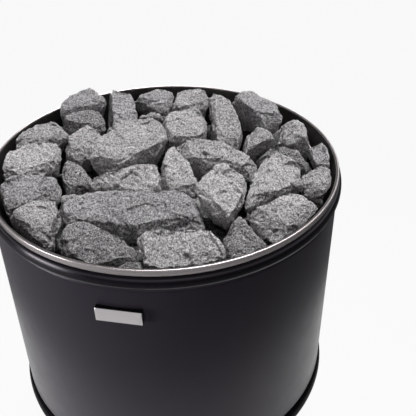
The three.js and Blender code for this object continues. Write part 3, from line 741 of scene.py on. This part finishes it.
def remeshed(mesh, voxel):
    """Fine even mesh over a plain one, which it uses up."""
    carrier = bpy.data.objects.new("carrier", mesh)
    bpy.context.scene.collection.objects.link(carrier)
    remesh = carrier.modifiers.new("fine", "REMESH")
    remesh.mode = "VOXEL"
    remesh.voxel_size = voxel
    graph = bpy.context.evaluated_depsgraph_get()
    fine = bpy.data.meshes.new_from_object(carrier.evaluated_get(graph))
    bpy.data.objects.remove(carrier)
    bpy.data.meshes.remove(mesh)
    bm = bmesh.new()
    bm.from_mesh(fine)
    bpy.data.meshes.remove(fine)
    bm.normal_update()
    return bm


def roughened(mesh, voxel, seed, cut, grit):
    """Remeshes a chipped stone finely, then breaks its faces into ledges and grit, nearly all inwards."""
    seed_steps = (3.17, 1.93, 2.71)
    swell_scale = 55
    pit_scale = 260
    most_proud = 0.0004
    bm = remeshed(mesh, voxel)
    offset = Vector([seed * step for step in seed_steps])
    moved = []
    for vert in bm.verts:
        spot = vert.co
        large = cell_tilt(spot, LARGE_FACET, offset)
        small = cell_tilt(spot, SMALL_FACET, offset * 2)
        swell = noise.fractal(spot * swell_scale + offset, 0.9, 2.1, 4)
        pits = noise.fractal(spot * pit_scale + offset, 0.8, 2.2, 3)
        depth = cut * (0.25 + 1.15 * large + 0.5 * small + 0.15 * swell) + grit * (0.5 + pits)
        moved.append(vert.normal * -min(max(depth, -most_proud), cut))
    for vert, move in zip(bm.verts, moved):
        vert.co += move
    return bm


LIFTED = {"stone_01", "stone_09", "stone_23", "stone_24", "stone_26"}
# Numbers of the stones that aren't the common grey
TINTS = {
    "rock_pale": (10, 14, 19, 20, 23, 24, 26, 30),
    "rock_blue": (1, 2, 4, 9, 13, 22, 31),
    "rock_dark": (3, 6, 12, 21, 25, 27, 28),
}
# Small stones wedged between the others: middle and size
PEBBLES = {
    "rock_pebble_1": ((0.147, 0.068, 0.434), (0.022, 0.018, 0.02)),
    "rock_pebble_2": ((0.162, -0.028, 0.434), (0.021, 0.019, 0.022)),
}


def rock_for(number):
    for rock in ROCKS:
        if number in TINTS.get(rock.name, ()):
            return rock
    return ROCKS[0]


def make_stone(number):
    node = f"stone_{number:02d}"
    plain = joined_copy(node)
    low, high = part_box(node)
    least = min(high - low)
    corner_depth = min(0.0045, 0.08 * least)
    edge_depth = min(0.0026, 0.05 * least)
    chip_stone(plain, number, corner_depth, edge_depth)
    bm = roughened(plain, STONE_VOXEL, number, STONE_CUT, STONE_GRIT)
    mesh = mesh_from(bm, "rock_" + node, STONE_SMOOTH)
    body = node if node in LIFTED else "heater"
    piece = add_object(f"rock_{number:02d}", mesh, body, [rock_for(number)])
    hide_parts(node)


def make_pebble(name, middle, size, seed):
    rng = random.Random(seed)
    bm = bmesh.new()
    for _ in range(PEBBLE_CORNERS):
        spot = Vector([rng.gauss(0, 1) for _ in range(3)]).normalized()
        bm.verts.new(Vector(middle) + Vector([a * b / 2 for a, b in zip(spot, size)]))
    hull = bmesh.ops.convex_hull(bm, input=bm.verts)
    bmesh.ops.delete(bm, geom=hull["geom_interior"], context="VERTS")
    mesh = bpy.data.meshes.new(name)
    bm.to_mesh(mesh)
    bm.free()
    bm = roughened(mesh, PEBBLE_VOXEL, seed, PEBBLE_CUT, PEBBLE_GRIT)
    add_object(name, mesh_from(bm, name, STONE_SMOOTH), "heater", [ROCKS[0]])


def make_stones():
    for number in range(1, STONES + 1):
        make_stone(number)
    bm = roughened(joined_copy("lower_stones"), BED_VOXEL, BED_SEED, BED_CUT, BED_GRIT)
    mesh = mesh_from(bm, "rock_bed", STONE_SMOOTH)
    # The bed wears the painted-shade rock, so the gaps between stones read dark
    bed = add_object("rock_bed", mesh, "heater", [SHADED_BED_ROCK])
    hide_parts("lower_stones")
    for seed, (name, (middle, size)) in enumerate(PEBBLES.items(), PEBBLE_SEED):
        make_pebble(name, middle, size, seed)


# Inside and under the drum


def dress_nodes():
    """Gives a material to each CAD solid that shows as it is."""
    finishes = {
        HOT_STEEL: ("stone_grate",),
        ZINC: ("heat_shield", "bottom_plate"),
        ELEMENT: ("heating_element_1", "heating_element_2", "heating_element_3"),
        PLASTIC: ("timer_switch", "thermostat_switch"),
        CERAMIC: ("overheat_limiter", "terminal_block"),
    }
    for material, names in finishes.items():
        for name in names:
            mesh = nodes[name].data
            mesh.materials.clear()
            mesh.materials.append(material)


def leg_profile():
    """Tube with a flange on top, a weld fillet under it and a bored sole."""
    bottom = PAD_HEIGHT + SEAM
    bore = STUD_RADIUS + STUD_PLAY
    under = LEG_TOP - FLANGE_HEIGHT
    inner = LEG_RADIUS - LEG_WALL
    edge = LEG_ROUND
    return [
        (bore, bottom),
        *arc(LEG_RADIUS - edge, bottom + edge, edge, edge, -90, 0, 4),
        (LEG_RADIUS, under - 0.002),
        (LEG_RADIUS + 0.0008, under - 0.0006),
        (LEG_RADIUS + 0.002, under),
        *arc(FLANGE_RADIUS - edge, under + edge, edge, edge, -90, 0, 4),
        (FLANGE_RADIUS, LEG_TOP),
        (inner, LEG_TOP),
        (inner, bottom + LEG_SOLE),
        (bore, bottom + LEG_SOLE),
    ]


def foot_profile():
    """Round pad with a rounded shoulder, a hub and a threaded stud."""
    edge = 0.001
    shoulder = 0.0025
    hub = PAD_RADIUS / 2
    top = PAD_HEIGHT + STUD_LENGTH
    thread = []
    for k in range(THREAD_TURNS):
        height = PAD_HEIGHT + THREAD_START + k * THREAD_PITCH
        thread.append((STUD_RADIUS, height))
        thread.append((STUD_RADIUS - THREAD_DEPTH, height + THREAD_PITCH / 2))
    return [
        (0, 0),
        *arc(PAD_RADIUS - edge, edge, edge, edge, -90, 0, 4),
        *arc(PAD_RADIUS - shoulder, PAD_HEIGHT / 2 - 0.0005, shoulder, shoulder, 10, 80, 5),
        (hub + 0.001, PAD_HEIGHT - 0.0006),
        (hub - 0.0005, PAD_HEIGHT),
        (STUD_RADIUS, PAD_HEIGHT),
        *thread,
        (STUD_RADIUS, top - STUD_CHAMFER),
        (STUD_RADIUS - STUD_CHAMFER, top),
        (0, top),
    ]


def make_legs():
    tube = leg_profile()
    pad = foot_profile()
    for k in range(LEGS):
        angle = math.pi / 2 + 2 * math.pi * k / LEGS
        place = Vector((LEG_CIRCLE * math.cos(angle), LEG_CIRCLE * math.sin(angle), 0))
        leg = f"leg_{k + 1}"
        foot = f"foot_{k + 1}"
        spun_piece(f"leg_tube_{k + 1}", leg, "heater", BOX_BLACK, tube, LEG_STEPS, place)
        spun_piece(f"foot_pad_{k + 1}", foot, foot, ZINC, pad, LEG_STEPS, place)


def make_knob(label, x):
    """Fluted round knob with a grip across its face, a pale pointer and a steel spindle."""
    bm = bmesh.new()
    back = Vector((x, -BOX_FRONT - KNOB_STANDOFF, CONTROL_HEIGHT))
    half = KNOB_DEPTH / 2
    edge = KNOB_ROUND
    skirt = [
        (0, 0),
        (KNOB_RADIUS - edge, 0),
        *arc(KNOB_RADIUS - edge, edge, edge, edge, -60, 0, 3),
        *arc(KNOB_RADIUS - 2 * edge, half - 2 * edge, 2 * edge, 2 * edge, 0, 90, 6),
        (KNOB_RADIUS - 4 * edge, half - edge / 2),
        (0, half - edge / 2),
    ]
    lathe(bm, skirt, KNOB_STEPS, back, TO_FRONT)
    flute(bm.verts, back, limit=KNOB_RADIUS - edge, count=32, depth=0.0003)
    length = 2 * KNOB_RADIUS - 0.004
    front = back.y - KNOB_DEPTH
    depth = half + edge
    grip_size = (0.008, depth, length)
    rounded_bar(bm, (x, front + depth / 2, CONTROL_HEIGHT), grip_size, edge=0.0018)
    pointer = CONTROL_HEIGHT + length / 4
    pointer_size = (0.002, 0.0008, length / 2 - 0.003)
    rounded_bar(bm, (x, front, pointer), pointer_size, edge=0.0002, material=1)
    spindle = [(0, -0.014), (0.0024, -0.014), (0.003, -0.013), (0.003, 0.002), (0, 0.002)]
    lathe(bm, spindle, 32, back, TO_FRONT, material=2)
    knob = label + "_knob"
    mesh = mesh_from(bm, knob)
    piece = add_object(label + "_dial", mesh, knob, [PLASTIC, MARK_WHITE, ZINC])
    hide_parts(knob)


def make_marks(label, x, sweep, count):
    """Bare scale round a knob, clockwise from the top: short strokes, longer at every other one."""
    gap = 0.0032
    bm = bmesh.new()
    for k in range(count):
        length = 0.0038 if k % 2 == 0 else 0.0024
        start = len(bm.verts)
        middle = (0, 0, KNOB_RADIUS + gap + length / 2)
        rounded_bar(bm, middle, (0.0011, 0.0003, length), edge=0.0001)
        bm.verts.ensure_lookup_table()
        turn = Matrix.Rotation(math.radians(sweep * k / (count - 1)), 3, "Y")
        for vert in bm.verts[start:]:
            vert.co = turn @ vert.co + Vector((x, -BOX_FRONT, CONTROL_HEIGHT))
    name = label + "_scale"
    add_object(name, mesh_from(bm, name), "heater", [MARK_WHITE])


def make_box():
    """CAD box with its edges broken."""
    flat = math.radians(1)
    sharp = math.radians(40)
    mesh = joined_copy("control_box")
    bm = bmesh.new()
    bm.from_mesh(mesh)
    bpy.data.meshes.remove(mesh)
    bmesh.ops.dissolve_limit(bm, angle_limit=flat, verts=bm.verts, edges=bm.edges)
    edges = [e for e in bm.edges if len(e.link_faces) == 2 and e.calc_face_angle(0) > sharp]
    bmesh.ops.bevel(
        bm, geom=edges, offset=BOX_EDGE, segments=BEVEL_STEPS, affect="EDGES", clamp_overlap=True
    )
    piece = add_object("box_shell", mesh_from(bm, "box_shell"), "heater", [BOX_BLACK])
    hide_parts("control_box")


def make_screws():
    """Pan-head screws that hold the front of the control box."""
    radius = 0.0034
    root = -0.001
    spread = BOX_WIDTH / 2 - 0.009
    head = [
        (0, root),
        (radius, root),
        *arc(0, 0, radius, 0.0018, 0, 70, 8),
        (0.0008, 0.0012),
        (0, 0.0008),
    ]
    bm = bmesh.new()
    for side in (-1, 1):
        for z in (BOX_TOP - BOX_HEIGHT + 0.008, BOX_TOP - 0.014):
            lathe(bm, head, 24, Vector((side * spread, -BOX_FRONT, z)), TO_FRONT)
    add_object("box_screws", mesh_from(bm, "box_screws"), "heater", [ZINC])


def make_gland():
    """Cable gland: a six-sided body, a ribbed dome nut and an open bore."""
    bore = 0.007
    neck = 0.010
    flange = 0.015
    length = 0.026
    root = -0.0045
    edge = 0.001
    dome_height = 0.007
    third = length / 3
    bm = bmesh.new()
    stem = [(bore, root), (neck, root), (neck, SEAM), (bore, SEAM)]
    lathe(bm, stem, 48, GLAND_PLACE, TO_BACK)
    base = [
        (bore, SEAM),
        (flange - edge, SEAM),
        (flange, 0.0012),
        (flange, third - edge),
        (flange - edge, third),
        (bore, third),
    ]
    lathe(bm, base, 6, GLAND_PLACE, TO_BACK)
    dome = [
        (bore, third),
        (flange - 0.0022, third),
        (flange - 0.002, third + edge),
        (flange - 0.002, length - dome_height),
        *arc(bore + edge, length - dome_height, flange - 0.003 - bore, dome_height, 0, 80, 8),
        (bore, length),
    ]
    first = len(bm.verts)
    lathe(bm, dome, 120, GLAND_PLACE, TO_BACK)
    bm.verts.ensure_lookup_table()
    flute(bm.verts[first:], GLAND_PLACE, limit=flange - 0.0035, count=20, depth=0.0004)
    piece = add_object("gland", mesh_from(bm, "gland"), "heater", [PLASTIC])
    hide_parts("cable_gland")


def make_button():
    """Round reset button with a dished face."""
    radius = 0.004
    reach = 0.005
    edge = 0.0006
    inside = -0.0048
    button = [
        (0, inside),
        (radius, inside),
        *arc(radius - edge, reach - edge, edge, edge, 0, 90, 5),
        (radius - 0.0012, reach - 0.0001),
        (0, reach - 0.0006),
    ]
    place = Vector((0, -BOX_FRONT, CONTROL_HEIGHT))
    name = "reset_button"
    spun_piece("reset_pin", name, name, PLASTIC, button, 48, place, TO_FRONT)


def make_controls():
    make_knob("timer", -CONTROL_SPREAD)
    make_knob("thermostat", CONTROL_SPREAD)
    make_marks("timer", -CONTROL_SPREAD, TIMER_SWEEP, TIMER_MARKS)
    make_marks("thermostat", CONTROL_SPREAD, THERMOSTAT_SWEEP, THERMOSTAT_MARKS)
    make_screws()
    make_gland()
    make_button()
    make_box()


make_rim()
make_shell()
make_container()
make_plate()
make_stones()
dress_nodes()
make_legs()
make_controls()


# Studio


def fade(tree, source, start, end, first, last):
    """Smooth step between two levels."""
    node = map_range(tree, source, (start, end), first, last)
    node.interpolation_type = "SMOOTHSTEP"
    return node.outputs["Result"]


def show_mix(tree, share, first, second, output):
    """Shows two shaders mixed by a share of the second."""
    blend = tree.nodes.new("ShaderNodeMixShader")
    for socket, source in zip(blend.inputs, (share, first.outputs[0], second.outputs[0])):
        tree.links.new(source, socket)
    tree.links.new(blend.outputs[0], output.inputs["Surface"])


def backdrop_rays(tree):
    """1 for rays that show the backdrop: from the camera, through glass, or in gloss up to its top."""
    rays = tree.nodes.new("ShaderNodeLightPath").outputs
    way = tree.nodes.new("ShaderNodeSeparateXYZ")
    tree.links.new(tree.nodes.new("ShaderNodeTexCoord").outputs["Generated"], way.inputs[0])
    edge = fade(tree, way.outputs["Z"], BACKDROP_EDGE, BACKDROP_TOP, 1.0, OVERHEAD_SHARE)
    gloss = calculate(tree, "MULTIPLY", rays["Is Glossy Ray"], edge)
    shown = calculate(tree, "MAXIMUM", rays["Is Camera Ray"], gloss)
    return calculate(tree, "MAXIMUM", shown, rays["Is Transmission Ray"])


def floor_share(tree):
    """White floor for the camera and through glass; in gloss it glows whitest near the object's foot, a
    painted pool of light.
    """
    rays = tree.nodes.new("ShaderNodeLightPath").outputs
    length = tree.nodes.new("ShaderNodeVectorMath")
    length.operation = "LENGTH"
    tree.links.new(tree.nodes.new("ShaderNodeNewGeometry").outputs["Position"], length.inputs[0])
    painted_pool = fade(tree, length.outputs["Value"], POOL_RADIUS, POOL_EDGE, 1.0, 0.0)
    gloss = calculate(tree, "MULTIPLY", rays["Is Glossy Ray"], painted_pool)
    straight = calculate(tree, "MAXIMUM", rays["Is Camera Ray"], rays["Is Transmission Ray"])
    white = calculate(tree, "MULTIPLY", straight, FLOOR_WHITE)
    return calculate(tree, "MAXIMUM", white, gloss)


def make_stage():
    mesh = bpy.data.meshes.new("floor")
    corners = [(x * FLOOR_REACH, y * FLOOR_REACH, 0) for x, y in ((-1, -1), (1, -1), (1, 1), (-1, 1))]
    mesh.from_pydata(corners, [], [(0, 1, 2, 3)])
    floor = bpy.data.objects.new("floor", mesh)
    bpy.context.scene.collection.objects.link(floor)
    material = bpy.data.materials.new("floor_white")
    material.use_nodes = True
    tree = material.node_tree
    tree.nodes.clear()
    output = tree.nodes.new("ShaderNodeOutputMaterial")
    matt = tree.nodes.new("ShaderNodeBsdfDiffuse")
    set_inputs(matt, {"Color": (FLOOR_MATT, FLOOR_MATT, FLOOR_MATT, 1)})
    glow = tree.nodes.new("ShaderNodeEmission")
    set_inputs(glow, {"Strength": 1})
    show_mix(tree, floor_share(tree), matt, glow, output)
    mesh.materials.append(material)


def make_world():
    scene = bpy.context.scene
    world = bpy.data.worlds.new("studio")
    scene.world = world
    world.use_nodes = True
    tree = world.node_tree
    tree.nodes.clear()
    output = tree.nodes.new("ShaderNodeOutputWorld")
    dim = tree.nodes.new("ShaderNodeBackground")
    set_inputs(dim, {"Color": (1, 1, 1, 1), "Strength": ROOM_LIGHT})
    white = tree.nodes.new("ShaderNodeBackground")
    set_inputs(white, {"Color": (1, 1, 1, 1), "Strength": 1})
    show_mix(tree, backdrop_rays(tree), dim, white, output)
    scene.view_settings.view_transform = "Standard"


def soft_box(name, place, target, width, height, power, spread=180):
    light = bpy.data.lights.new(name, "AREA")
    light.shape = "RECTANGLE"
    light.size = width
    light.size_y = height
    light.energy = power
    light.spread = math.radians(spread)
    lamp = bpy.data.objects.new(name, light)
    lamp.visible_camera = False
    bpy.context.scene.collection.objects.link(lamp)
    lamp.location = place
    lamp.rotation_euler = (Vector(target) - Vector(place)).to_track_quat("-Z", "Y").to_euler()


def make_lights():
    soft_box(
        "top_light", (0.1, 0.62, 1.75), (0, 0, 0.42), width=1.0, height=1.0, power=4.3, spread=50
    )
    soft_box("left_light", (-1.35, -0.95, 0.3), (0, 0, 0.28), width=0.7, height=0.45, power=15)
    soft_box("front_light", (0.3, -1.8, 0.9), (0, -0.2, 0.42), width=2.2, height=0.4, power=2.2)


def make_camera():
    camera = bpy.data.cameras.new("camera")
    camera.lens = CAMERA_LENS
    camera.sensor_width = CAMERA_SENSOR
    camera.clip_start = CAMERA_NEAR
    holder = bpy.data.objects.new("camera", camera)
    bpy.context.scene.collection.objects.link(holder)
    right = CAMERA_LOOK.cross(CAMERA_UP).normalized()
    up = right.cross(CAMERA_LOOK).normalized()
    turn = Matrix((right, up, -CAMERA_LOOK.normalized())).transposed()
    holder.matrix_world = Matrix.Translation(CAMERA_PLACE) @ turn.to_4x4()
    bpy.context.scene.camera = holder


make_stage()
make_world()
make_lights()
make_camera()
